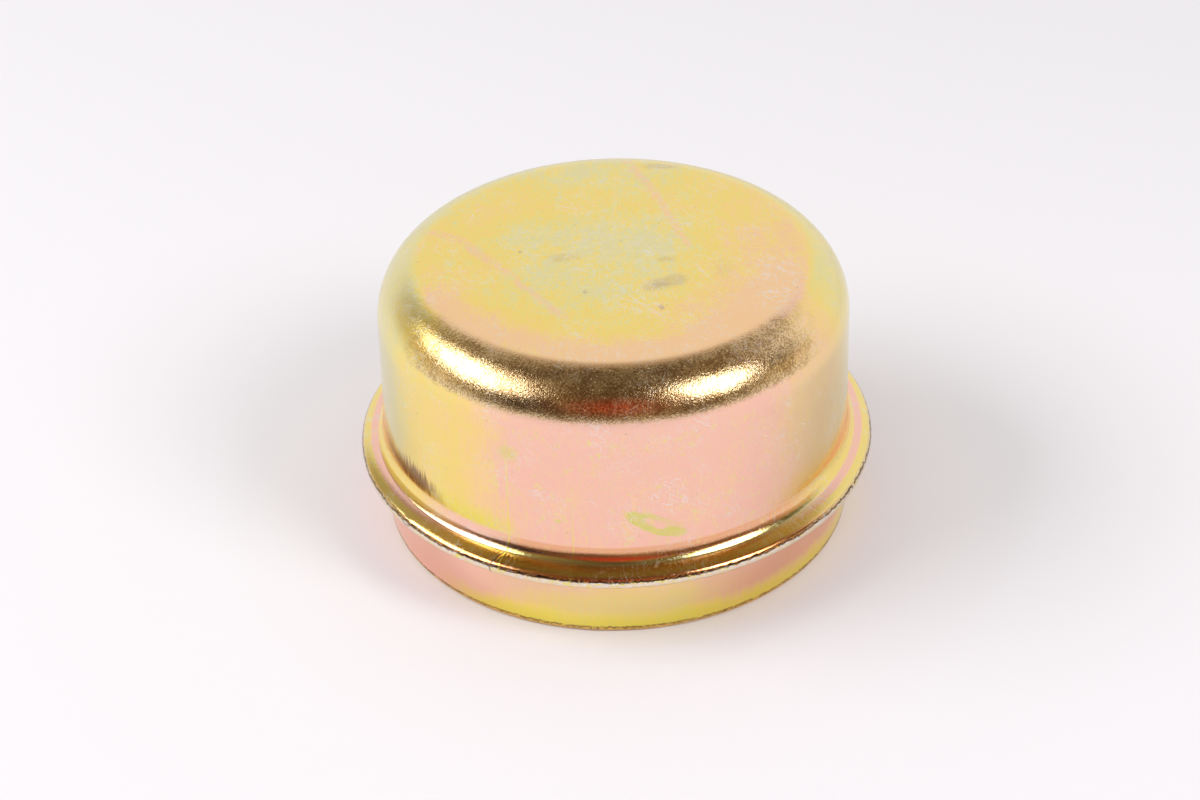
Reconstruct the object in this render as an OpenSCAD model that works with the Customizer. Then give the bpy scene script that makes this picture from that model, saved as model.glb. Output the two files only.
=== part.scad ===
/* [Skirt] */
// Outside diameter of the skirt that is pressed into the hub bore
skirt_od = 50.3; // [40:0.1:65]
// Height of the skirt from its foot to the underside of the rim
skirt_h = 7.4; // [4:0.1:12]
// Radius that guides the skirt's outer edge into the bore
lead_in_r = 0.4; // [0.1:0.05:0.6]
// Outside radius of the bend from the skirt out into the rim
skirt_bend_r = 0.45; // [0.2:0.05:0.7]

/* [Sheet] */
// Thickness of the steel sheet
sheet_t = 0.75; // [0.65:0.05:0.9]
// Gap that the closed fold keeps inside its nose
fold_gap = 0.08; // [0.04:0.01:0.14]

/* [Rim] */
// How far the folded rim stands out beyond the skirt
rim_overhang = 2.6; // [2:0.05:5]
// Slope of the upper face where it leaves the rounded nose, from level
nose_slope = 26.5; // [20:0.5:34]
// Slope of the upper face where it reaches the crease, from level
crease_slope = 10; // [4:0.5:16]
// Slope of the fillet where it rises from the crease, from level
fillet_slope = 40; // [32:1:55]
// Radius of the crease
crease_r = 0.15; // [0.05:0.05:0.4]
// Radius of the fillet between the crease and the wall
fillet_r = 2.3; // [1.4:0.1:2.9]

/* [Cup] */
// How far the foot of the wall stands inside the skirt's outer face
wall_setback = 0.1; // [0:0.05:1]
// Inward lean of the wall, in degrees
wall_lean = 0.6; // [0:0.1:3]
// Outside radius of the shoulder between the wall and the crown
shoulder_r = 5.9; // [2:0.1:10]
// Slope of the crown where it leaves the shoulder, in degrees
crown_slope = 1.8; // [0.5:0.1:8]
// Full height of the cap, from the foot to the middle of the crown
cap_h = 30.2; // [24:0.1:45]

/* [Hidden] */
$fn = 180;

// Zinc plate with a yellow passivate
plate_colour = [0.86, 0.72, 0.40];

// Largest angle that one flat stretch of a round one spans, in section
arc_step = 5;
// Points of the section that lie closer together than this are one point
same_point = 0.0005;

skirt_r = skirt_od / 2;
rim_r = skirt_r + rim_overhang;
wall_r = skirt_r - wall_setback;
// The closed fold is two sheets and its gap thick, with a full round for a nose
nose_r = sheet_t + fold_gap / 2;

// Directions in which the outer face of the section looks, in degrees from level
down = -90;
nose_look = 90 - nose_slope;
crease_look = 90 - crease_slope;
fillet_look = 90 - fillet_slope;
wall_look = wall_lean;
crown_look = 90 - crown_slope;
upright = 90;

function toward(angle) = [cos(angle), sin(angle)];

// Width that the crease and the fillet take between the upper face and the wall
crease_run = crease_r * (cos(fillet_look) - cos(crease_look));
fillet_run = fillet_r * (cos(wall_look) - cos(fillet_look));
// Width that is left for the upper face, and the shallow arc that spans it
nose_centre = [rim_r - nose_r, skirt_h + nose_r];
face_outer_edge = nose_centre.x + nose_r * cos(nose_look);
face_run = face_outer_edge - wall_r - fillet_run - crease_run;
face_r = face_run / (cos(nose_look) - cos(crease_look));

face_centre = nose_centre - (face_r - nose_r) * toward(nose_look);
crease_centre = face_centre + (face_r + crease_r) * toward(crease_look);
fillet_centre = crease_centre + (fillet_r - crease_r) * toward(fillet_look);
skirt_bend_centre = [skirt_r + skirt_bend_r, skirt_h - skirt_bend_r];

// The shoulder touches the leaning wall and the crown, whose own centre lies on the axis
wall_look_way = toward(wall_look);
wall_reach = fillet_centre * wall_look_way - fillet_r;
shoulder_reach = wall_reach - shoulder_r - (cap_h - shoulder_r) * wall_look_way.y;
shoulder_x = shoulder_reach / (wall_look_way.x - tan(crown_slope / 2) * wall_look_way.y);
shoulder_centre = [shoulder_x, cap_h - shoulder_r - shoulder_x * tan(crown_slope / 2)];
crown_r = shoulder_r + shoulder_x / sin(crown_slope);
crown_centre = [0, cap_h - crown_r];

// Each bend from the foot to the crown: centre, outer radius, first and last direction,
// and 1 where the outer face is round outwards or -1 where it is hollow
bends = [
    [skirt_bend_centre, skirt_bend_r, 0, down, -1],
    [nose_centre, nose_r, down, nose_look, 1],
    [face_centre, face_r, nose_look, crease_look, 1],
    [crease_centre, crease_r, crease_look, fillet_look, -1],
    [fillet_centre, fillet_r, fillet_look, wall_look, -1],
    [shoulder_centre, shoulder_r, wall_look, crown_look, 1],
    [crown_centre, crown_r, crown_look, upright, 1]
];

// Points of one bend, on the outer face at depth 0 or on the inner face at depth sheet_t
function bend_points(bend, depth) =
    let(centre = bend[0], first = bend[2], last = bend[3], side = bend[4])
    let(radius = bend[1] - side * depth)
    let(steps = max(3, ceil(abs(last - first) / arc_step)))
    [for (i = [0:steps]) centre + side * radius * toward(first + (last - first) * i / steps)];

function face_points(depth) = [for (bend = bends, point = bend_points(bend, depth)) point];

function reversed(points) = [for (i = [len(points) - 1:-1:0]) points[i]];

function without_repeats(points) =
    [for (i = [0:len(points) - 1]) if (i == 0 || norm(points[i] - points[i - 1]) > same_point) points[i]];

// The foot: flat on the inside, round on the outside where it enters the bore
lead_in = [[skirt_r - lead_in_r, lead_in_r], lead_in_r, down, 0, 1];
foot_inner_edge = [skirt_r - sheet_t, 0];

// Section of the sheet, closed round its thickness
module sheet_section() {
    outer_face = concat(bend_points(lead_in, 0), face_points(0));
    inner_face = reversed(face_points(sheet_t));
    polygon(without_repeats(concat([foot_inner_edge], outer_face, inner_face)));
}

// One disc of sheet, drawn into a cup and folded back on itself at the rim
module grease_cap() {
    color(plate_colour) rotate_extrude() sheet_section();
}

grease_cap();
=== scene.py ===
"""Hub grease cap: the looks of the drawn and plated cap, on a pale studio floor."""

import math

import bmesh
import bpy
from mathutils import Matrix, Vector, noise


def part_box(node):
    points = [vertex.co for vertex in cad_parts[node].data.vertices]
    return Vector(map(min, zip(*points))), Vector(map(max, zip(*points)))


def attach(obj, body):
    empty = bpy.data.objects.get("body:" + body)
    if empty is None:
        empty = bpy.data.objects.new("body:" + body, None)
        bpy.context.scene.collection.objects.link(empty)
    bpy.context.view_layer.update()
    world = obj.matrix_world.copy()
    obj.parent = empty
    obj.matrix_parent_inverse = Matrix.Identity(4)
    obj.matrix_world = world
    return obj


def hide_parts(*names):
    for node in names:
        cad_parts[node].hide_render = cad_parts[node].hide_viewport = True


bl_info = {
    "name": "Hub grease cap",
    "version": (1, 0, 0),
    "blender": (4, 5, 0),
    "location": "View3D > Sidebar > Grease cap",
    "description": "Makes a drawn, folded and yellow-plated hub grease cap and its studio",
    "category": "Object",
}

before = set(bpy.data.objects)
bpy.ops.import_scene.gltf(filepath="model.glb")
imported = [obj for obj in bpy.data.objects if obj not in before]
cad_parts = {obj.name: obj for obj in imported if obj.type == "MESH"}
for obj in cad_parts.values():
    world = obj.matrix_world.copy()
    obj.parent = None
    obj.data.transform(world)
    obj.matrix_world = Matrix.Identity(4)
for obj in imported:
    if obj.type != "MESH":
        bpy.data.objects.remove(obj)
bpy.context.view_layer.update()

MM = 0.001
# Ways round the cap are measured in mm on a circle of this radius
WAY_RADIUS = 25.0
CAD_LOW, CAD_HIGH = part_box("grease_cap")
RIM_RADIUS = CAD_HIGH.x / MM
CAP_HEIGHT = CAD_HIGH.z / MM

# Points of a drawn section that lie closer together than this, in mm, are one point
SAME_POINT = 1e-4
# A point nearer to the axis than this, in mm, lies on it
ON_AXIS = 1e-3
# Heights in mm where the unevenness of the cup gives way to the rim's, and the rim's to the skirt's
CUP_FOOT = 10.0
RIM_FOOT = 7.3

# The evenly lit white that the camera and the plate see all round
BACKDROP = (0.92, 0.905, 0.93)
# Studio sizes in m: the paper floor fades into the backdrop between the two distances of PAPER_END
PAPER_END = (0.15, 0.40)
FLOOR_RADIUS = 4.0
LAMP_DISTANCE = 0.6
# The right lamp's power as a share of the left one's
RIGHT_LAMP_SHARE = 0.68
# What stands in the room that the plate mirrors
DARK_BLUE_CLOTH = (0.012, 0.022, 0.055)
RED_CLOTH = (0.46, 0.075, 0.035)
SIDE_WALL = (0.44, 0.38, 0.30)
LOW_WALL = (0.74, 0.60, 0.36)
CEILING = (0.17, 0.15, 0.11)

# Directions in a section, in degrees from level, in which the outer face looks
DOWN = -90.0
LEVEL = 0.0
UP = 90.0


class CapSizes(bpy.types.PropertyGroup):
    """Sizes of the cap's section, in millimetres and degrees"""

    skirt_radius: bpy.props.FloatProperty(
        name="Skirt radius", description="Outer radius of the skirt, in mm", default=25.15, min=20.0
    )
    skirt_height: bpy.props.FloatProperty(
        name="Skirt height", description="From the foot to the underside of the rim, in mm", default=7.4
    )
    lead_in: bpy.props.FloatProperty(
        name="Lead-in", description="Radius of the skirt's outer foot edge, in mm", default=0.4
    )
    skirt_bend: bpy.props.FloatProperty(
        name="Skirt bend", description="Radius where the skirt turns out into the rim, in mm", default=0.45
    )
    sheet: bpy.props.FloatProperty(
        name="Sheet", description="Thickness of the steel sheet, in mm", default=0.75, min=0.4
    )
    fold_gap: bpy.props.FloatProperty(
        name="Fold gap", description="Gap inside the nose of the fold, in mm", default=0.08, min=0.02
    )
    rim_radius: bpy.props.FloatProperty(
        name="Rim radius", description="Outer radius of the folded rim, in mm", default=RIM_RADIUS
    )
    nose_slope: bpy.props.FloatProperty(
        name="Nose slope", description="Slope of the rim's upper face at its nose, in degrees", default=26.5
    )
    crease_slope: bpy.props.FloatProperty(
        name="Crease slope", description="Slope of the rim's upper face at the crease, in degrees",
        default=10.0,
    )
    fillet_slope: bpy.props.FloatProperty(
        name="Fillet slope", description="Slope of the fillet at the crease, in degrees", default=40.0
    )
    crease: bpy.props.FloatProperty(
        name="Crease", description="Radius of the crease, in mm", default=0.15
    )
    fillet: bpy.props.FloatProperty(
        name="Fillet", description="Radius between the crease and the wall, in mm", default=2.3
    )
    wall_radius: bpy.props.FloatProperty(
        name="Wall radius", description="Outer radius of the wall's foot, in mm", default=25.05
    )
    wall_lean: bpy.props.FloatProperty(
        name="Wall lean", description="Inward lean of the wall, in degrees", default=0.6
    )
    shoulder: bpy.props.FloatProperty(
        name="Shoulder", description="Outer radius between the wall and the crown, in mm", default=5.9
    )
    crown_slope: bpy.props.FloatProperty(
        name="Crown slope", description="Slope of the crown at the shoulder, in degrees", default=1.8
    )
    height: bpy.props.FloatProperty(
        name="Height", description="From the foot to the middle of the crown, in mm", default=CAP_HEIGHT
    )
    steps_round: bpy.props.IntProperty(
        name="Steps round", description="Number of faces round the cap", default=520, min=64
    )


class PlateLook(bpy.types.PropertyGroup):
    """Colours and finish of the yellow plate"""

    green: bpy.props.FloatVectorProperty(
        name="Green film", description="Thinnest film, a greenish grey", subtype="COLOR", size=3,
        default=(0.79, 0.71, 0.34),
    )
    lime: bpy.props.FloatVectorProperty(
        name="Lime film", description="Thin film, a greenish yellow", subtype="COLOR", size=3,
        default=(0.86, 0.73, 0.26),
    )
    yellow: bpy.props.FloatVectorProperty(
        name="Yellow film", description="Film of medium thickness, a clear yellow", subtype="COLOR", size=3,
        default=(0.93, 0.71, 0.21),
    )
    orange: bpy.props.FloatVectorProperty(
        name="Orange film", description="Thicker film, an orange yellow", subtype="COLOR", size=3,
        default=(0.96, 0.66, 0.31),
    )
    pink: bpy.props.FloatVectorProperty(
        name="Pink film", description="Thick film, a salmon pink", subtype="COLOR", size=3,
        default=(0.95, 0.565, 0.44),
    )
    # Lemon also colours the painted reflection of a yellow glow low on the wall's left
    lemon: bpy.props.FloatVectorProperty(
        name="Lemon", description="Pooled passivate near the foot", subtype="COLOR", size=3,
        default=(0.86, 0.75, 0.11),
    )
    # Gold also colours the painted dark reflection low on the wall's right side
    gold: bpy.props.FloatVectorProperty(
        name="Gold", description="Pooled passivate on the rim", subtype="COLOR", size=3,
        default=(0.86, 0.52, 0.1),
    )
    # Colour of the painted reddish reflection on the front of the fillet and the nose
    painted_reflection_copper: bpy.props.FloatVectorProperty(
        name="Copper", description="Strained film on the fillet and the nose", subtype="COLOR", size=3,
        default=(0.8, 0.36, 0.13),
    )
    old_gold: bpy.props.FloatVectorProperty(
        name="Old gold", description="Film on the shoulder", subtype="COLOR", size=3,
        default=(0.92, 0.70, 0.38),
    )
    # Colour of the dark specks in the painted reflection of the dim room on the shoulder's front
    painted_reflection_bronze: bpy.props.FloatVectorProperty(
        name="Bronze", description="Darker film on the shoulder", subtype="COLOR", size=3,
        default=(0.46, 0.29, 0.12),
    )
    amber: bpy.props.FloatVectorProperty(
        name="Amber", description="Warmer film on the crown", subtype="COLOR", size=3,
        default=(0.92, 0.69, 0.13),
    )
    # Tan also colours the painted reflection of the shadowed floor on the wall's right side
    tan: bpy.props.FloatVectorProperty(
        name="Tan", description="Duller film at the sides", subtype="COLOR", size=3,
        default=(0.78, 0.6, 0.3),
    )
    # Colour of the painted reflection of the cap's shadow on the skirt's right
    salmon: bpy.props.FloatVectorProperty(
        name="Salmon", description="Brownish film on the skirt", subtype="COLOR", size=3,
        default=(0.88, 0.47, 0.34),
    )
    # Brass also stands for the painted reflection of the yellow-lit floor on the foot's rounded edge
    brass: bpy.props.FloatVectorProperty(
        name="Brass", description="The cut edge", subtype="COLOR", size=3,
        default=(0.84, 0.53, 0.18),
    )
    smear: bpy.props.FloatVectorProperty(
        name="Smear", description="A greenish smear of lacquer", subtype="COLOR", size=3,
        default=(0.68, 0.68, 0.15),
    )
    # Colour of the painted reflection of the pale floor on the lower half of the nose
    rubbed: bpy.props.FloatVectorProperty(
        name="Rubbed film", description="Pale film under the nose of the fold", subtype="COLOR", size=3,
        default=(0.83, 0.67, 0.52),
    )
    zinc: bpy.props.FloatVectorProperty(
        name="Bare zinc", description="Zinc where the film is rubbed off", subtype="COLOR", size=3,
        default=(0.84, 0.82, 0.78),
    )
    soil: bpy.props.FloatVectorProperty(
        name="Soil", description="Grey-brown smudges and pits", subtype="COLOR", size=3,
        default=(0.55, 0.41, 0.30),
    )
    # Colour of the painted dark reflection low on the wall's left
    painted_reflection_umber: bpy.props.FloatVectorProperty(
        name="Umber", description="Brown shade at the wall's foot", subtype="COLOR", size=3,
        default=(0.26, 0.13, 0.04),
    )
    crack: bpy.props.FloatVectorProperty(
        name="Crack", description="Dark cracks and edges", subtype="COLOR", size=3,
        default=(0.12, 0.06, 0.025),
    )
    roughness: bpy.props.FloatProperty(
        name="Roughness", description="Roughness of clean plate", default=0.14, min=0.02, max=1.0
    )


class StudioLook(bpy.types.PropertyGroup):
    """Camera, lamps and surroundings"""

    camera_distance: bpy.props.FloatProperty(
        name="Camera distance", description="From the foot's centre", unit="LENGTH", default=0.2996
    )
    camera_elevation: bpy.props.FloatProperty(
        name="Camera elevation", description="Above the floor, in degrees", default=36.81
    )
    camera_yaw: bpy.props.FloatProperty(
        name="Camera yaw", description="Aim to the left of the foot's centre, in degrees", default=0.33
    )
    camera_pitch: bpy.props.FloatProperty(
        name="Camera pitch", description="Aim above the foot's centre, in degrees", default=1.83
    )
    camera_roll: bpy.props.FloatProperty(
        name="Camera roll", description="Tilt of the picture, in degrees", default=1.5
    )
    focal_length: bpy.props.FloatProperty(
        name="Focal length", description="On a 36 mm wide sensor, in mm", default=81.0
    )
    lamp_power: bpy.props.FloatProperty(
        name="Lamp power", description="Of the left lamp, in watts; the right one has two thirds",
        default=1.85, min=0.0,
    )
    ambient: bpy.props.FloatProperty(
        name="Ambient", description="Strength of the even light from all round", default=0.55, min=0.0
    )
    floor_colour: bpy.props.FloatVectorProperty(
        name="Floor", description="Colour of the floor", subtype="COLOR", size=3,
        default=(0.895, 0.868, 0.897),
    )
    room_colour: bpy.props.FloatVectorProperty(
        name="Room", description="The unlit room that the plate mirrors", subtype="COLOR", size=3,
        default=(0.21, 0.14, 0.07),
    )


class Sum:
    """A number inside a material, so that shader maths reads as Python"""

    def __init__(self, graph, socket):
        self.graph = graph
        self.socket = socket

    def combine(self, operation, first, second=0.0):
        return self.graph.node("ShaderNodeMath", {"operation": operation}, {0: first, 1: second})

    def __add__(self, other):
        return self.combine("ADD", self, other)

    __radd__ = __add__

    def __sub__(self, other):
        return self.combine("SUBTRACT", self, other)

    def __rsub__(self, other):
        return self.combine("SUBTRACT", other, self)

    def __mul__(self, other):
        return self.combine("MULTIPLY", self, other)

    __rmul__ = __mul__

    def __truediv__(self, other):
        return self.combine("DIVIDE", self, other)

    def __pow__(self, other):
        return self.combine("POWER", self, other)

    def __neg__(self):
        return self.combine("MULTIPLY", self, -1.0)

    def size(self):
        """The number without its sign"""
        return self.combine("ABSOLUTE", self)


class Graph:
    """The nodes of one material or world"""

    def __init__(self, owner):
        owner.use_nodes = True
        self.tree = owner.node_tree
        self.tree.nodes.clear()

    def node(self, kind, settings=None, values=None, output=0):
        """Adds a node: its settings first, then the values or links of its sockets"""
        made = self.tree.nodes.new(kind)
        for name, value in (settings or {}).items():
            if name == "stops":
                self.set_stops(made.color_ramp, value)
            else:
                setattr(made, name, value)
        for key, value in (values or {}).items():
            if isinstance(value, Sum):
                self.tree.links.new(value.socket, made.inputs[key])
            else:
                made.inputs[key].default_value = value
        return Sum(self, made.outputs[output]) if made.outputs else made

    def set_stops(self, ramp, stops):
        while len(ramp.elements) < len(stops):
            ramp.elements.new(1.0)
        for element, (position, colour) in zip(ramp.elements, stops):
            element.position = position
            element.color = (*colour, 1.0)

    def rise(self, value, low, high):
        """0 below low, 1 above high and smooth between them; falls if low is the higher"""
        return self.node(
            "ShaderNodeMapRange",
            {"interpolation_type": "SMOOTHSTEP"},
            {"Value": value, "From Min": low, "From Max": high},
        )

    def band(self, value, low, high, soft):
        """1 between low and high, with soft edges"""
        return self.rise(value, low - soft, low + soft) * self.rise(value, high + soft, high - soft)

    def mix(self, amount, first, second):
        """Blend of two colours"""
        colours = [c if isinstance(c, Sum) else (*c[:3], 1.0) for c in (first, second)]
        settings = {"data_type": "RGBA"}
        return self.node("ShaderNodeMix", settings, {0: amount, 6: colours[0], 7: colours[1]}, output=2)

    def parts(self, point):
        """The x, y and z of a point"""
        split = self.tree.nodes.new("ShaderNodeSeparateXYZ")
        self.tree.links.new(point.socket, split.inputs[0])
        return tuple(Sum(self, split.outputs[index]) for index in range(3))

    def stretched(self, point, scale):
        """The point with each axis scaled"""
        return self.node("ShaderNodeVectorMath", {"operation": "MULTIPLY"}, {0: point, 1: scale})

    def grain(self, point, scale, detail=2.0, roughness=0.5, distortion=0.0):
        """Noise from 0 to 1, mostly near its middle"""
        values = {"Vector": point, "Scale": scale, "Detail": detail, "Roughness": roughness}
        values["Distortion"] = distortion
        return self.node("ShaderNodeTexNoise", {}, values)

    def stroke(self, across, along, start, end, width):
        """1 on the line between two points of a face, 0 beyond its width"""
        run = (end[0] - start[0], end[1] - start[1])
        length = run[0] ** 2 + run[1] ** 2
        reach = ((across - start[0]) * run[0] + (along - start[1]) * run[1]) / length
        part = self.node("ShaderNodeClamp", {}, {"Value": reach})
        aside = across - start[0] - part * run[0]
        ahead = along - start[1] - part * run[1]
        distance = (aside * aside + ahead * ahead) ** 0.5
        return self.rise(distance, width, width * 0.25)

    def blob(self, across, along, centre, radii):
        """1 in the middle of an oval, falling softly to 0 at its edge"""
        aside = (across - centre[0]) * (1 / radii[0])
        ahead = (along - centre[1]) * (1 / radii[1])
        return self.rise((aside * aside + ahead * ahead) ** 0.5, 1.15, 0.35)

    def hairs(self, across, along, degrees, seed):
        """Thin scratches that run one way"""
        turn = math.radians(degrees)
        lengthwise = across * math.cos(turn) + along * math.sin(turn)
        sideways = along * math.cos(turn) - across * math.sin(turn)
        place = self.node("ShaderNodeCombineXYZ", {}, {0: lengthwise * 0.6, 1: sideways * 7.5, 2: seed})
        return self.rise(self.grain(place, 1.0, 1.0, 0.5), 0.66, 0.72)

    def highest(self, masks):
        """The strongest of several masks"""
        top = masks[0]
        for mask in masks[1:]:
            top = top.combine("MAXIMUM", top, mask)
        return top


def bend(mesh, point, centre, degrees, steps):
    """Draws a round stretch of the section, on from a point about a centre; returns its last point"""
    turned = bmesh.ops.spin(
        mesh,
        geom=[point],
        cent=(centre[0], 0.0, centre[1]),
        axis=(0.0, -1.0, 0.0),
        angle=math.radians(degrees),
        steps=steps,
        use_duplicate=False,
    )
    return next(item for item in turned["geom_last"] if isinstance(item, bmesh.types.BMVert))


def straight(mesh, point, end, steps):
    """Draws a straight stretch of the section to an end; returns its last point"""
    start = point.co.copy()
    goal = Vector((end[0], 0.0, end[1]))
    for step in range(1, steps + 1):
        drawn = bmesh.ops.extrude_vert_indiv(mesh, verts=[point])
        point = drawn["verts"][0]
        point.co = start.lerp(goal, step / steps)
    return point


def toward(degrees):
    angle = math.radians(degrees)
    return Vector((math.cos(angle), math.sin(angle)))


def section_bends(size):
    """Each bend from the foot to the crown: centre, outer radius, first and last look, side, steps"""
    nose_radius = size.sheet + size.fold_gap / 2
    nose_look = UP - size.nose_slope
    crease_look = UP - size.crease_slope
    fillet_look = UP - size.fillet_slope
    crown_look = UP - size.crown_slope
    nose = Vector((size.rim_radius - nose_radius, size.skirt_height + nose_radius))
    face_run = nose.x + nose_radius * toward(nose_look).x - size.wall_radius
    face_run -= size.crease * (toward(fillet_look).x - toward(crease_look).x)
    face_run -= size.fillet * (toward(size.wall_lean).x - toward(fillet_look).x)
    face_radius = face_run / (toward(nose_look).x - toward(crease_look).x)
    face = nose - (face_radius - nose_radius) * toward(nose_look)
    crease = face + (face_radius + size.crease) * toward(crease_look)
    fillet = crease + (size.fillet - size.crease) * toward(fillet_look)
    skirt_bend = Vector((size.skirt_radius + size.skirt_bend, size.skirt_height - size.skirt_bend))
    wall_way = toward(size.wall_lean)
    rise = math.tan(math.radians(size.crown_slope / 2))
    reach = fillet.dot(wall_way) - size.fillet - size.shoulder
    reach -= (size.height - size.shoulder) * wall_way.y
    shoulder_x = reach / (wall_way.x - rise * wall_way.y)
    shoulder = Vector((shoulder_x, size.height - size.shoulder - shoulder_x * rise))
    crown_radius = size.shoulder + shoulder_x / math.sin(math.radians(size.crown_slope))
    crown = Vector((0.0, size.height - crown_radius))
    return [
        (skirt_bend, size.skirt_bend, LEVEL, DOWN, -1, 5),
        (nose, nose_radius, DOWN, nose_look, 1, 14),
        (face, face_radius, nose_look, crease_look, 1, 8),
        (crease, size.crease, crease_look, fillet_look, -1, 3),
        (fillet, size.fillet, fillet_look, size.wall_lean, -1, 10),
        (shoulder, size.shoulder, size.wall_lean, crown_look, 1, 24),
        (crown, crown_radius, crown_look, UP, 1, 22),
    ]


def draw_face(mesh, point, bends, depth, straights, coarse):
    """Draws the outer face at depth 0, or the inner one at the sheet's depth, up to the axis"""
    for index, (centre, radius, first, last, side, steps) in enumerate(bends):
        reach = side * (radius - side * depth)
        start = centre + reach * toward(first)
        if (point.co - Vector((start.x, 0.0, start.y))).length > SAME_POINT:
            point = straight(mesh, point, start, max(1, straights.get(index, 1) // coarse))
        point = bend(mesh, point, centre, last - first, max(3, steps // coarse))
    return point


def wander(place, scale, seed):
    """Smooth noise from -1 to 1 at a place in mm"""
    return noise.noise(place / scale + Vector((seed, seed * 0.37, -seed)))


def foot_burr(place, angle):
    """Ragged lower edge that the trim die leaves on the skirt, in mm outwards"""
    ragged = wander(Vector((place.x, place.y, 0.0)), 0.6, 3.0) * 0.025
    ragged += wander(Vector((place.x, place.y, 0.0)), 2.3, 9.0) * 0.04
    peak = math.exp(-(((angle + 6.0) / 1.6) ** 2)) * 0.12
    return (ragged + peak) * math.exp(-(((place.z - 0.42) / 0.22) ** 2))


def rim_burr(place, angle):
    """Small oval nick raised on the rim's nose, in mm outwards"""
    across = (angle + 53.0) / 1.5
    up = (place.z - 8.45) / 0.3
    ring = math.hypot(across, up)
    return 0.10 * math.exp(-(((ring - 1.0) / 0.35) ** 2)) - 0.05 * math.exp(-((ring / 0.6) ** 2))


def form_vertex(vertex):
    """Adds the slight unevenness of drawn sheet, and its burrs, to one point of the outer face"""
    place = vertex.co
    radius = math.hypot(place.x, place.y)
    if radius < ON_AXIS:
        return
    angle = math.degrees(math.atan2(place.x, -place.y))
    outward = Vector((place.x / radius, place.y / radius, 0.0))
    if place.z > CUP_FOOT:
        amount = 0.016 * wander(place, 9.0, 1.0) + 0.006 * wander(place, 3.0, 5.0)
        vertex.co = place + vertex.normal * amount
    elif place.z > RIM_FOOT:
        amount = rim_burr(place, angle) + 0.012 * wander(place, 2.5, 2.0)
        vertex.co = place + outward * (amount - 0.02)
    elif place.z > 0.02:
        vertex.co = place + outward * (foot_burr(place, angle) * 0.6 - 0.03)


class GREASECAP_OT_cap(bpy.types.Operator):
    """Draws the cap's section, spins it round and gives it its plate"""

    bl_idname = "greasecap.cap"
    bl_label = "Make the grease cap"
    bl_options = {"REGISTER", "UNDO"}

    def execute(self, context):
        size = context.scene.cap_sizes
        look = context.scene.plate_look
        bends = section_bends(size)
        mesh = bmesh.new()
        side = mesh.verts.layers.int.new("inside")
        inner_foot = mesh.verts.new((size.skirt_radius - size.sheet, 0.0, 0.0))
        flat_end = (size.skirt_radius - size.lead_in, 0.0)
        outer = straight(mesh, inner_foot, flat_end, 2)
        outer = bend(mesh, outer, (flat_end[0], size.lead_in), UP, 6)
        draw_face(mesh, outer, bends, 0.0, {0: 18, 1: 3, 5: 24}, 1)
        outer_points = set(mesh.verts) - {inner_foot}
        draw_face(mesh, inner_foot, bends, size.sheet, {0: 6, 1: 4, 5: 8}, 2)
        inner_points = set(mesh.verts) - outer_points
        for vertex in inner_points:
            vertex[side] = 1
        bmesh.ops.spin(
            mesh,
            geom=mesh.verts[:] + mesh.edges[:],
            cent=(0.0, 0.0, 0.0),
            axis=(0.0, 0.0, 1.0),
            angle=math.tau,
            steps=size.steps_round,
            use_merge=True,
            use_duplicate=False,
        )
        bmesh.ops.remove_doubles(mesh, verts=mesh.verts[:], dist=SAME_POINT)
        bmesh.ops.recalc_face_normals(mesh, faces=mesh.faces[:])
        for face in mesh.faces:
            face.smooth = True
            face.material_index = 1 if all(vertex[side] for vertex in face.verts) else 0
        mesh.normal_update()
        for vertex in mesh.verts:
            if not vertex[side]:
                form_vertex(vertex)
        bmesh.ops.scale(mesh, vec=(MM, MM, MM), verts=mesh.verts[:])
        data = bpy.data.meshes.new("grease_cap_drawn")
        mesh.to_mesh(data)
        mesh.free()
        data.materials.append(outer_plate(look))
        data.materials.append(inner_plate(look))
        cap = bpy.data.objects.new("grease_cap_drawn", data)
        context.collection.objects.link(cap)
        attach(cap, "root")
        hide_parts("grease_cap")
        return {"FINISHED"}


class Surface:
    """Where a point of the plate lies, in mm, and the unevenness that all its looks share"""

    def __init__(self, graph):
        place = graph.node("ShaderNodeTexCoord", output="Object")
        self.point = graph.stretched(place, (1 / MM, 1 / MM, 1 / MM))
        self.x, self.y, self.z = graph.parts(self.point)
        self.radius = (self.x * self.x + self.y * self.y) ** 0.5
        self.way = self.x.combine("ARCTAN2", self.x, -self.y) * WAY_RADIUS
        self.cloud = graph.grain(self.point, 0.16, 3.0, 0.55) - 0.5
        self.patch = graph.grain(self.point, 0.55, 4.0, 0.6) - 0.5
        self.fleck = graph.grain(self.point, 2.6, 3.0, 0.65) - 0.5
        self.drawn = graph.grain(graph.stretched(self.point, (1.0, 1.0, 0.07)), 3.2, 3.0, 0.6) - 0.5
        self.on_crown = graph.rise(self.radius, 21.6, 19.6) * graph.rise(self.z, 27.0, 29.0)
        self.on_skirt = graph.rise(self.z, 7.6, 7.2)
        # A flat pair of axes for straight marks: x and y on top, round and up elsewhere
        top = self.z.combine("GREATER_THAN", self.z, 27.6)
        self.across = self.way + (self.x - self.way) * top
        self.ahead = self.z + (self.y - self.z) * top


def film_colour(graph, look, thickness):
    """Colour of the passivate film from thin to thick"""
    films = (look.green, look.lime, look.yellow, look.orange, look.pink)
    stops = list(zip((0.0, 0.2, 0.42, 0.68, 1.0), films))
    return graph.node("ShaderNodeValToRGB", {"stops": stops}, {"Fac": thickness})


def along_wall(degrees):
    """Millimetres round the wall from the front"""
    return math.radians(degrees) * WAY_RADIUS


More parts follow.
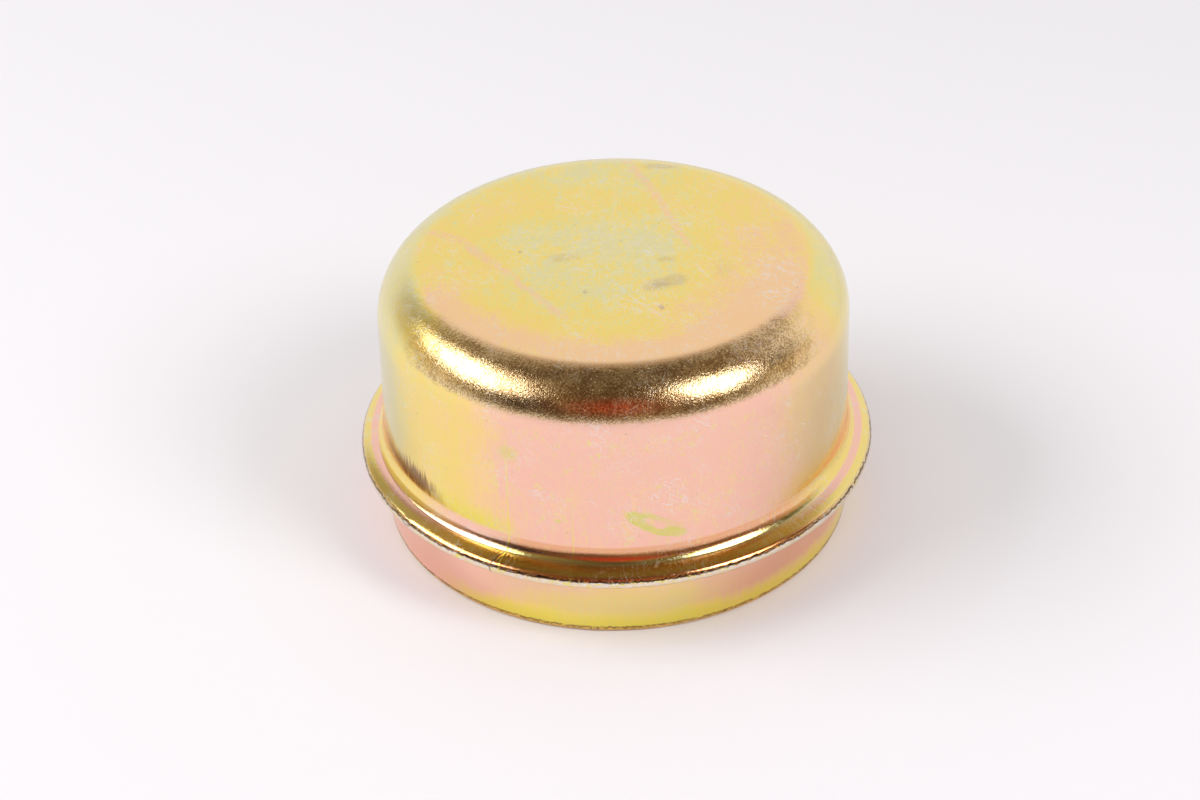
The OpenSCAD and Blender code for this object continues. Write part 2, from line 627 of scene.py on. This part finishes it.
def crown_film(graph, s):
    """Thin in the middle, thicker towards the right and the front"""
    right = graph.rise(s.x * 0.9 - s.y * 0.35, 2.0, 18.0)
    front = graph.rise(s.radius, 14.0, 18.5) * graph.rise(s.y, 1.0, -10.0)
    ring = graph.rise(s.radius, 4.0, 15.5) * graph.rise(s.y, 26.0, 8.0)
    film = 0.08 + 0.32 * ring + 0.5 * right + 0.68 * front
    streaky = graph.grain(graph.stretched(s.point, (1.0, 0.45, 1.0)), 0.8, 5.0, 0.7) - 0.5
    return film + s.cloud * 0.8 + streaky * 1.2 + s.fleck * 1.1


def wall_film(graph, s):
    """Thick in front, thinner to both sides"""
    film = 0.03 + graph.rise(s.way, along_wall(-70), along_wall(-56)) * 0.40
    film = film + graph.rise(s.way, along_wall(-43), along_wall(-20)) * 0.60
    film = film - graph.rise(s.way, along_wall(32), along_wall(60)) * 0.36
    film = film - graph.rise(s.way, along_wall(60), along_wall(80)) * 0.5
    return film + s.cloud * 0.35 + s.patch * 0.45 + s.fleck * 0.35 + s.drawn * 0.4


def paint_cup(graph, look, s):
    """Film colours of the crown, the shoulder and the wall, and the shoulder's torn specks, with painted
    reflections: a yellow glow and a dark patch low on the wall's left, tan and gold on its right, and the
    dim room as dark specks across the shoulder's front
    """
    film = wall_film(graph, s) * (1.0 - s.on_crown) + crown_film(graph, s) * s.on_crown
    colour = film_colour(graph, look, film)
    colour = graph.mix(s.on_crown * graph.rise(film, 0.05, 0.4) * 0.38, colour, look.amber)
    # Painted reflection of the shadowed floor, in tan, on the wall's right side
    tan = graph.band(s.way, along_wall(46), along_wall(80), 5.0) * graph.rise(s.z, 27.0, 24.0)
    colour = graph.mix(tan * 0.55, colour, look.tan)
    # Painted reflection of a yellow glow on the floor, in lemon, low on the wall's left
    glow = graph.band(s.way + s.drawn * 3.0, along_wall(-49), along_wall(-27), 3.0)
    glow = glow * graph.rise(s.z + s.drawn * 2.0, 14.0, 11.4)
    colour = graph.mix(glow * 0.85, colour, look.lemon)
    # Painted dark reflection: a brown patch and a thin line low on the wall's left, where the plate mirrors
    # the dark gap beside the left lamp
    shade = graph.blob(s.way, s.z + s.drawn * 4.0, (along_wall(-58), 11.9), (5.4, 1.7))
    shade = graph.highest([shade, graph.blob(s.way, s.z, (along_wall(-70), 11.6), (7.0, 0.5)) * 0.7])
    colour = graph.mix(shade, colour, look.painted_reflection_umber)
    # Painted dark reflection, in gold, low on the wall's right side
    foot = graph.rise(s.way, along_wall(36), along_wall(54)) * graph.rise(s.z, 15.5, 11.0)
    colour = graph.mix(foot * 0.75, colour, look.gold)
    # The shoulder was stretched most and its film is torn into small specks; across its front they are
    # painted dark bronze and old gold, a painted reflection of the dim room that fades out to the sides
    stretched = graph.rise(s.z + s.fleck * 0.8, 25.6, 26.4)
    stretched = stretched * graph.rise(s.radius - s.fleck * 1.2, 19.7, 20.7)
    stretched = stretched * graph.rise(s.way.size() + s.patch * 8.0, along_wall(64), along_wall(44))
    specks = graph.grain(s.point, 4.0, 3.0, 0.8) - 0.5
    old_gold = graph.mix(graph.rise(s.patch * 0.5 + specks, -0.09, 0.09), look.painted_reflection_bronze, look.old_gold)
    return graph.mix(stretched * 0.92, colour, old_gold), stretched * graph.rise(specks, 0.13, 0.20)


def paint_rim(graph, look, s, colour):
    """Bands of film on the fillet, the rim's upper face and its nose, with a painted reddish reflection on
    the front of the fillet and the nose
    """
    sideways = graph.rise(s.way.size(), along_wall(38), along_wall(60))
    on_rim = graph.rise(s.z, 11.3, 10.7) * graph.rise(s.z, 7.2, 7.5)
    uneven = s.patch * 0.5 + s.fleck * 0.3
    to_left = graph.band(s.way, along_wall(-68), along_wall(-28), 3.0)
    crease_film = 0.06 + graph.highest([graph.rise(s.z, 9.55, 9.8), to_left]) * 0.94
    front = film_colour(graph, look, crease_film + uneven)
    # Painted reddish reflection, in copper, on the front of the fillet
    painted_fillet_reflection = graph.band(s.z, 9.7, 10.9, 0.15) * (1.0 - to_left)
    front = graph.mix(painted_fillet_reflection * 0.65, front, look.painted_reflection_copper)
    front = graph.mix(graph.rise(s.radius + uneven * 0.6, 26.05, 26.4), front, look.gold)
    # Painted reddish reflection, in copper, on the front of the nose
    front = graph.mix(graph.rise(s.radius + uneven * 0.3, 27.15, 27.4), front, look.painted_reflection_copper)
    side = film_colour(graph, look, 1.0 - graph.rise(s.radius, 26.5, 26.85) * 0.66 + uneven)
    side = graph.mix(graph.rise(s.radius, 25.95, 25.7), side, look.yellow)
    side = graph.mix(graph.rise(s.radius, 27.3, 27.5), side, look.tan)
    return graph.mix(on_rim, colour, graph.mix(sideways, front, side))


def paint_nose(graph, look, s, colour):
    """The nose of the fold, with a painted reflection of the pale floor below its middle, under a ragged
    crack in the plate
    """
    ragged = graph.grain(graph.stretched(s.point, (1.0, 1.0, 0.25)), 1.6, 4.0, 0.75) - 0.5
    upper_edge = s.z + ragged * 0.8
    # Painted reflection of the pale floor on the lower half of the nose, speckled with zinc and lemon
    below = graph.rise(upper_edge, 8.50, 8.44) * graph.rise(s.z, 7.42, 7.50)
    below = below * graph.rise(s.radius, 26.6, 26.8)
    colour = graph.mix(below, colour, look.rubbed)
    specks = graph.grain(graph.stretched(s.point, (0.6, 0.6, 1.6)), 3.4, 3.0, 0.7)
    colour = graph.mix(below * graph.rise(specks, 0.50, 0.58), colour, look.zinc)
    flecks = graph.grain(graph.stretched(s.point, (0.5, 0.5, 1.4)), 2.3, 3.0, 0.7)
    colour = graph.mix(below * graph.rise(flecks, 0.55, 0.60) * 0.9, colour, look.lemon)
    # A thin line of painted shade where the nose turns under towards the skirt
    ring = graph.band(s.z, 7.50, 7.58, 0.04) * graph.rise(s.radius, 26.6, 26.8)
    colour = graph.mix(ring * 0.5, colour, look.crack)
    gate = graph.rise(graph.grain(s.point, 0.9, 3.0, 0.7), 0.34, 0.42)
    crack = graph.band(upper_edge, 8.42, 8.64, 0.04) * gate * graph.rise(s.radius, 26.9, 27.1)
    split = graph.stroke(s.way, s.radius, (along_wall(-26.4), 25.8), (along_wall(-28.6), 27.7), 0.10)
    crack = graph.highest([crack, split * graph.rise(s.z, 10.0, 9.6)])
    across = (s.way - along_wall(-53)) * (1 / 0.62)
    up = (s.z - 8.50) * (1 / 0.30)
    distance = (across * across + up * up) ** 0.5
    nick = graph.band(distance, 0.72, 1.0, 0.14) * graph.rise(s.radius, 26.9, 27.1)
    crack = graph.highest([crack, nick * 0.85])
    return graph.mix(crack * 0.9, colour, look.crack), crack


def paint_skirt(graph, look, s, colour):
    """Tan and green streaks in front, pink to the left, brown to the right as a painted reflection of the
    cap's shadow, lemon by the foot
    """
    film = 0.28 + 0.8 * graph.rise(s.way - s.z * 1.5, along_wall(-18), along_wall(-50))
    film = film + 0.5 * graph.rise(s.z + s.cloud * 2.0, 3.6, 6.6)
    film = film + s.drawn * 0.7 + s.cloud * 0.4 + s.fleck * 0.3
    film = film + 0.5 * graph.rise(s.way, along_wall(12), along_wall(30))
    skirt = film_colour(graph, look, film)
    dull = graph.band(s.z + s.cloud * 2.0, 2.4, 6.0, 0.8)
    dull = dull * graph.rise(s.way, along_wall(-42), along_wall(-20))
    skirt = graph.mix(dull * 0.5, skirt, look.tan)
    # Painted reflection of the cap's shadow, in salmon brown, on the skirt's right
    brown = graph.rise(s.way + s.cloud * 6.0, along_wall(14), along_wall(34))
    brown = brown * graph.rise(s.z + s.drawn, 1.6, 3.2)
    skirt = graph.mix(brown * 0.8, skirt, look.salmon)
    near_foot = graph.rise(s.z + s.drawn * 0.8 + s.cloud * 2.0, 3.0, 1.0)
    near_foot = near_foot * graph.rise(s.way, along_wall(-52), along_wall(-34))
    skirt = graph.mix(near_foot * 0.8, skirt, look.lemon)
    colour = graph.mix(s.on_skirt, colour, skirt)
    ragged = graph.grain(graph.stretched(s.point, (1.0, 1.0, 0.5)), 2.8, 4.0, 0.8) - 0.5
    # The cut edge at the foot, in brass, which also stands for a painted reflection of the yellow-lit floor
    # on its rounded edge
    edge = graph.rise(s.z + ragged * 0.9, 0.62, 0.50)
    colour = graph.mix(edge * 0.9, colour, look.brass)
    gate = graph.rise(graph.grain(s.point, 0.7, 4.0, 0.8), 0.40, 0.50)
    specks = graph.rise(graph.grain(s.point, 3.6, 3.0, 0.8), 0.50, 0.56)
    specks = specks * graph.band(s.z, 0.30, 0.66, 0.08)
    line = graph.highest([graph.band(s.z + ragged * 0.9, 0.50, 0.66, 0.05) * gate, specks])
    return graph.mix(line * 0.8, colour, look.crack), ragged * edge


def paint_marks(graph, look, s, colour):
    """Draw lines and a smear on the wall; streaks and smudges on the crown"""
    lines = [
        graph.stroke(s.way, s.z, (along_wall(-26.5), 8.0), (along_wall(-26.5), 20.4), 0.13),
        graph.stroke(s.way, s.z, (along_wall(-10.7), 8.0), (along_wall(-10.7), 17.0), 0.11) * 0.6,
    ]
    draw_lines = graph.highest(lines)
    line_colour = graph.mix(graph.rise(s.z, 15.0, 11.5), look.lime, look.lemon)
    colour = graph.mix(draw_lines * 0.85, colour, line_colour)

    # The smear is a long hollow leaf with a heavy lower side
    lean = math.atan2(12.0 - 15.1, along_wall(15.5) - along_wall(1.6))
    aside = s.way + s.patch * 0.9 - along_wall(8.6)
    above = s.z + s.patch * 0.6 - 13.55
    length = (aside * math.cos(lean) + above * math.sin(lean)) * (1 / 3.5)
    height = (above * math.cos(lean) - aside * math.sin(lean)) * (1 / 1.1)
    distance = (length * length + height * height) ** 0.5
    inner = 0.30 + 0.24 * graph.rise(height, -0.2, 0.6)
    leaf = graph.rise(distance, inner - 0.1, inner + 0.1) * graph.rise(distance, 1.08, 0.92)
    leaf = leaf * (0.65 + 0.35 * graph.rise(s.fleck, -0.12, 0.05))
    faint = graph.rise(height, 0.1, 0.5) * graph.rise(length, -0.5, 0.5)
    smear = leaf * (1.0 - faint * 0.7)
    greenish = [smear * 0.85, graph.blob(s.way, s.z, (along_wall(-26), 21.2), (1.3, 1.1)) * 0.5]
    greenish.append(graph.blob(s.way, s.z, (along_wall(-14), 13.9), (0.35, 0.25)) * 0.8)
    colour = graph.mix(graph.highest(greenish), colour, look.smear)

    sway_x = s.x + s.patch * 1.2 + s.fleck * 0.5
    sway_y = s.y + s.patch * 1.2
    streaks = [
        graph.stroke(sway_x, sway_y, (-20.5, 6.6), (-16.2, 4.2), 0.85),
        graph.stroke(sway_x, sway_y, (-16.2, 4.2), (-12.0, -1.5), 0.85),
        graph.stroke(sway_x, sway_y, (-12.0, -1.5), (-5.0, -11.5), 0.75),
        graph.stroke(sway_x, sway_y, (1.6, 21.0), (5.0, 12.0), 0.85),
        graph.stroke(sway_x, sway_y, (5.0, 12.0), (8.0, 1.5), 0.75),
        graph.stroke(sway_x, sway_y, (-22.0, 8.0), (-20.6, 2.5), 0.9),
    ]
    worn = graph.rise(s.fleck + s.patch * 0.6, -0.16, 0.02)
    colour = graph.mix(graph.highest(streaks) * worn * s.on_crown * 0.5, colour, look.pink)

    smudge = graph.stroke(sway_x, sway_y, (4.2, -6.1), (6.8, -5.0), 1.5)
    soils = [
        smudge * 0.55,
        graph.blob(sway_x, sway_y, (5.1, -5.8), (1.6, 0.8)) * 0.75,
        graph.blob(sway_x, sway_y, (-5.0, -0.4), (2.0, 1.0)) * 0.45,
        graph.blob(sway_x, sway_y, (5.7, -1.2), (1.2, 0.8)) * 0.4,
        graph.blob(sway_x, sway_y, (-2.8, -7.0), (0.35, 0.5)) * 0.7,
        graph.blob(sway_x, sway_y, (4.9, -10.2), (0.4, 0.6)) * 0.9,
        graph.blob(sway_x, sway_y, (5.8, 18.7), (2.6, 0.9)) * 0.5,
        graph.blob(sway_x, sway_y, (11.6, -3.0), (1.5, 2.4)) * 0.16,
        graph.blob(sway_x, sway_y, (-9.5, 1.2), (0.25, 0.3)) * 0.9,
    ]
    soil = graph.highest(soils) * s.on_crown * graph.rise(s.fleck + s.patch * 0.5, -0.25, 0.05)
    colour = graph.mix(soil * 0.72, colour, look.soil)
    return colour, draw_lines, smear, soil


def paint_wear(graph, look, s, colour):
    """Hair scratches, rubbed flecks down to pale zinc, and small dark pits"""
    wavy = s.across + s.patch * 0.5
    near = s.ahead + s.patch * 0.5
    bright_zones = [
        graph.rise(graph.grain(s.point, 0.22, 2.0, 0.5), 0.40, 0.62) * 0.6,
        graph.blob(s.x, s.y, (1.0, 1.0), (9.0, 9.0)) * s.on_crown * 0.7,
        graph.blob(s.way, s.z, (along_wall(11.5), 17.0), (2.8, 3.2)),
        graph.blob(s.way, s.z, (along_wall(-4), 24.0), (1.6, 3.2)),
        graph.blob(s.way, s.z, (along_wall(-17.5), 17.0), (1.8, 1.2)),
        graph.blob(s.x, s.y, (2.5, -8.5), (4.5, 5.0)) * s.on_crown,
        graph.blob(s.x, s.y, (17.0, -6.0), (4.0, 8.0)) * s.on_crown,
    ]
    zone = graph.highest(bright_zones)
    runs = ((14, 1.3), (74, 4.1), (-38, 7.7), (118, 9.2))
    hairs = [graph.hairs(wavy, near, angle, seed) for angle, seed in runs]
    scratched = graph.highest(hairs) * zone
    crumbs = graph.grain(s.point, 4.2, 4.0, 0.75, 0.6)
    rubbed = graph.rise(crumbs, 0.57, 0.63) * (0.25 + zone * 0.75)
    long_marks = [
        graph.stroke(s.x + s.patch * 0.4, s.y, (-6.0, 10.5), (-3.4, 9.4), 0.14),
        graph.stroke(s.x + s.patch * 0.4, s.y, (0.0, -5.0), (2.4, -9.0), 0.16),
        graph.stroke(s.x + s.patch * 0.4, s.y, (2.4, -9.0), (5.2, -12.0), 0.16),
        graph.stroke(s.x + s.patch * 0.4, s.y, (8.8, -2.5), (9.8, -4.6), 0.16),
        graph.stroke(s.x + s.patch * 0.3, s.y, (0.6, 17.0), (0.2, 6.0), 0.10) * 0.5,
    ]
    scored = graph.highest(long_marks) * s.on_crown * graph.rise(s.fleck, -0.16, 0.0)
    pale = graph.highest([scratched * 0.85, rubbed * 0.75, scored * 0.5]) * (1.0 - s.on_skirt * 0.7)
    colour = graph.mix(pale, colour, look.zinc)
    blots = graph.grain(graph.stretched(s.point, (1.0, 1.0, 0.6)), 1.5, 5.0, 0.8)
    in_front = graph.rise(s.way.size(), along_wall(50), along_wall(30))
    yellowed = graph.rise(blots, 0.56, 0.62) * in_front * graph.rise(s.z, 25.5, 24.0)
    colour = graph.mix(yellowed * (0.5 + zone * 0.4) * (1.0 - s.on_skirt), colour, look.lime)
    pits = graph.rise(graph.grain(s.point, 1.7, 2.0, 0.6), 0.735, 0.755) * (1.0 - s.on_skirt)
    colour = graph.mix(pits * 0.55, colour, look.soil)
    return colour, pale


def outer_plate(look):
    """Yellow passivate on bright zinc, with the marks of drawing, folding and handling, and painted
    reflections and shade where the plate mirrors its surroundings
    """
    material = bpy.data.materials.new("yellow_zinc_plate_outer")
    graph = Graph(material)
    s = Surface(graph)
    colour, glints = paint_cup(graph, look, s)
    colour = paint_rim(graph, look, s, colour)
    colour, notches = paint_skirt(graph, look, s, colour)
    colour, crack = paint_nose(graph, look, s, colour)
    colour, draw_lines, smear, soil = paint_marks(graph, look, s, colour)
    colour, pale = paint_wear(graph, look, s, colour)

    on_shoulder = graph.rise(s.z, 25.4, 26.6) * graph.rise(s.radius, 19.0, 21.5)
    rough = look.roughness + pale * 0.12 + soil * 0.2 + smear * 0.08
    rough = rough + s.fleck * 0.06 + on_shoulder * 0.03
    coarse_peel = graph.grain(s.point, 2.6, 4.0, 0.7)
    fine_peel = graph.grain(s.point, 5.5, 2.0, 0.7)
    peel = (coarse_peel * 0.5 + fine_peel) * (0.08 + on_shoulder)
    pull = graph.grain(graph.stretched(s.point, (1.0, 1.0, 0.05)), 5.0, 3.0, 0.7)
    low = graph.rise(s.z, 15.0, 11.0)
    height = peel * 3.0 + pull * (0.35 + low * 0.9) * (1.0 - on_shoulder) + pale * 0.25
    height = height + draw_lines * 0.8 + notches * 2.0 - crack * 1.5
    bump = graph.node("ShaderNodeBump", {}, {"Strength": 0.4, "Distance": 0.02 * MM, "Height": height})
    # Torn specks on the shoulder and in the scratches scatter light instead of mirroring it
    metal = 1.0 - glints * 0.55 - pale * 0.25
    finish_plate(graph, colour, rough, bump, metal)
    return material


def finish_plate(graph, colour, rough, bump, metal=1.0):
    """Joins colour, roughness and bump to a metal shader"""
    values = {"Base Color": colour, "Metallic": metal, "Roughness": rough, "Normal": bump}
    shader = graph.node("ShaderNodeBsdfPrincipled", {}, values)
    graph.node("ShaderNodeOutputMaterial", {}, {"Surface": shader})


def inner_plate(look):
    """The same plate inside the cup, duller and less even"""
    material = bpy.data.materials.new("yellow_zinc_plate_inner")
    graph = Graph(material)
    s = Surface(graph)
    drawn = s.drawn + 0.5
    film = 0.35 + s.cloud * 0.9 + s.patch * 0.5 + s.drawn * 0.5
    colour = film_colour(graph, look, film)
    rough = look.roughness + 0.08 + drawn * 0.1
    bump = graph.node("ShaderNodeBump", {}, {"Strength": 0.3, "Distance": 0.02 * MM, "Height": drawn})
    finish_plate(graph, colour, rough, bump)
    return material


def floor_material(studio):
    """Matt pale paper near the cap, which runs out into an evenly lit backdrop"""
    material = bpy.data.materials.new("pale_floor")
    graph = Graph(material)
    place = graph.node("ShaderNodeTexCoord", output="Object")
    x, y, _ = graph.parts(place)
    distance = (x * x + y * y) ** 0.5
    paper = graph.node(
        "ShaderNodeBsdfPrincipled", {}, {"Base Color": (*studio.floor_colour, 1.0), "Roughness": 0.9}
    )
    glow = graph.node("ShaderNodeEmission", {}, {"Color": (*BACKDROP, 1.0), "Strength": 1.0})
    seen = graph.node("ShaderNodeLightPath", output="Is Camera Ray")
    mirrored = graph.node("ShaderNodeLightPath", output="Is Glossy Ray")
    far = graph.rise(distance, *PAPER_END) * graph.highest([seen, mirrored])
    shader = graph.node("ShaderNodeMixShader", {}, {0: far, 1: paper, 2: glow})
    graph.node("ShaderNodeOutputMaterial", {}, {"Surface": shader})
    return material


def add_soft_lamp(context, name, way_round, elevation, width, height, power):
    """A soft oval lamp; way_round is 0 degrees at the camera's side and grows to the right"""
    data = bpy.data.lights.new(name, "AREA")
    data.shape = "ELLIPSE"
    data.size = width
    data.size_y = height
    data.energy = power
    lamp = bpy.data.objects.new(name, data)
    context.collection.objects.link(lamp)
    flat = toward(way_round)
    level = math.cos(math.radians(elevation))
    place = Vector((flat.y * level, -flat.x * level, math.sin(math.radians(elevation))))
    lamp.location = place * LAMP_DISTANCE + Vector((0.0, 0.0, CAP_HEIGHT * MM * 0.7))
    lamp.rotation_euler = (-place).to_track_quat("-Z", "Y").to_euler()
    lamp.visible_camera = False


def mirrored_room(graph, studio):
    """What the plate mirrors: a white backdrop and table, and a dim warm room with cloths and walls"""
    way = graph.node("ShaderNodeTexCoord", output="Generated")
    x, y, z = graph.parts(way)
    degrees = 180.0 / math.pi
    round_about = x.combine("ARCTAN2", x, -y) * degrees
    height = z.combine("ARCSINE", z) * degrees
    left = graph.rise(-round_about - height * 0.5, 126.0, 133.0)
    right = graph.rise(round_about, 90.0, 106.0)
    backdrop = graph.highest([left, right]) * graph.rise(height, 54.0, 41.0)
    table_edge = graph.rise(height, 8.0, 2.0)
    uneven = graph.grain(way, 3.0, 3.0, 0.6)
    dark = tuple(0.35 * part for part in studio.room_colour)
    light = tuple(1.35 * part for part in studio.room_colour)
    room = graph.mix(graph.rise(uneven, 0.33, 0.66), dark, light)
    blue = graph.blob(round_about, height, (-44.0, 26.0), (17.0, 11.0))
    room = graph.mix(blue * 0.95, room, DARK_BLUE_CLOTH)
    red = graph.blob(round_about + (uneven - 0.5) * 40.0, height, (0.0, 34.0), (27.0, 17.0))
    room = graph.mix(red, room, RED_CLOTH)
    side_wall = graph.rise(round_about.size(), 100.0, 122.0) * graph.rise(height, 68.0, 58.0)
    room = graph.mix(side_wall * 0.85, room, SIDE_WALL)
    low_wall = graph.rise(round_about.size(), 58.0, 84.0) * graph.rise(height, 28.0, 14.0)
    room = graph.mix(low_wall * 0.85, room, LOW_WALL)
    overhead = graph.rise(height, 62.0, 80.0)
    room = graph.mix(overhead * 0.6, room, CEILING)
    return graph.mix(graph.highest([backdrop, table_edge]), room, BACKDROP)


def set_world(context, studio):
    """White all round for the camera, a studio for the plate to mirror, and even light for the rest"""
    world = bpy.data.worlds.new("studio_world")
    context.scene.world = world
    graph = Graph(world)
    seen = graph.node("ShaderNodeLightPath", output="Is Camera Ray")
    mirrored = graph.node("ShaderNodeLightPath", output="Is Glossy Ray")
    ambient = tuple(studio.ambient for _ in range(3))
    light = graph.mix(mirrored, ambient, mirrored_room(graph, studio))
    light = graph.mix(seen, light, BACKDROP)
    background = graph.node("ShaderNodeBackground", {}, {"Color": light, "Strength": 1.0})
    graph.node("ShaderNodeOutputWorld", {}, {"Surface": background})


def add_camera(context, studio):
    """The camera, at the photograph's angle"""
    data = bpy.data.cameras.new("camera")
    data.sensor_width = 36.0
    data.lens = studio.focal_length
    data.clip_start = 0.01
    camera = bpy.data.objects.new("camera", data)
    context.collection.objects.link(camera)
    elevation = math.radians(studio.camera_elevation)
    place = Vector((0.0, -math.cos(elevation), math.sin(elevation))) * studio.camera_distance
    aim = (-place).to_track_quat("-Z", "Y").to_matrix()
    aim = aim @ Matrix.Rotation(math.radians(studio.camera_yaw), 3, "Y")
    aim = aim @ Matrix.Rotation(math.radians(studio.camera_pitch), 3, "X")
    aim = aim @ Matrix.Rotation(-math.radians(studio.camera_roll), 3, "Z")
    camera.matrix_world = Matrix.Translation(place) @ aim.to_4x4()
    context.scene.camera = camera


class GREASECAP_OT_studio(bpy.types.Operator):
    """Makes the floor, the lamps, the surroundings and the camera"""

    bl_idname = "greasecap.studio"
    bl_label = "Make the studio"
    bl_options = {"REGISTER", "UNDO"}

    def execute(self, context):
        studio = context.scene.studio_look
        mesh = bmesh.new()
        bmesh.ops.create_circle(mesh, cap_ends=True, cap_tris=False, segments=96, radius=FLOOR_RADIUS)
        data = bpy.data.meshes.new("floor")
        mesh.to_mesh(data)
        mesh.free()
        data.materials.append(floor_material(studio))
        floor = bpy.data.objects.new("floor", data)
        context.collection.objects.link(floor)
        add_soft_lamp(context, "lamp_left", -84.0, 41.0, 0.52, 0.29, studio.lamp_power)
        right_power = studio.lamp_power * RIGHT_LAMP_SHARE
        add_soft_lamp(context, "lamp_right", 56.0, 42.0, 0.24, 0.31, right_power)
        set_world(context, studio)
        add_camera(context, studio)
        context.scene.view_settings.view_transform = "Standard"
        return {"FINISHED"}


class GREASECAP_PT_panel(bpy.types.Panel):
    """Lists the steps that make the cap"""

    bl_label = "Grease cap"
    bl_idname = "GREASECAP_PT_panel"
    bl_space_type = "VIEW_3D"
    bl_region_type = "UI"
    bl_category = "Grease cap"

    def draw(self, context):
        layout = self.layout
        layout.operator("greasecap.cap")
        layout.operator("greasecap.studio")
        for group in (context.scene.cap_sizes, context.scene.plate_look, context.scene.studio_look):
            box = layout.box()
            for name in group.__annotations__:
                box.prop(group, name)


CLASSES = (CapSizes, PlateLook, StudioLook, GREASECAP_OT_cap, GREASECAP_OT_studio, GREASECAP_PT_panel)


def register():
    for cls in CLASSES:
        bpy.utils.register_class(cls)
    bpy.types.Scene.cap_sizes = bpy.props.PointerProperty(type=CapSizes)
    bpy.types.Scene.plate_look = bpy.props.PointerProperty(type=PlateLook)
    bpy.types.Scene.studio_look = bpy.props.PointerProperty(type=StudioLook)


def unregister():
    del bpy.types.Scene.studio_look
    del bpy.types.Scene.plate_look
    del bpy.types.Scene.cap_sizes
    for cls in reversed(CLASSES):
        bpy.utils.unregister_class(cls)


def main():
    register()
    bpy.ops.greasecap.studio()
    bpy.ops.greasecap.cap()


if __name__ == "__main__":
    main()
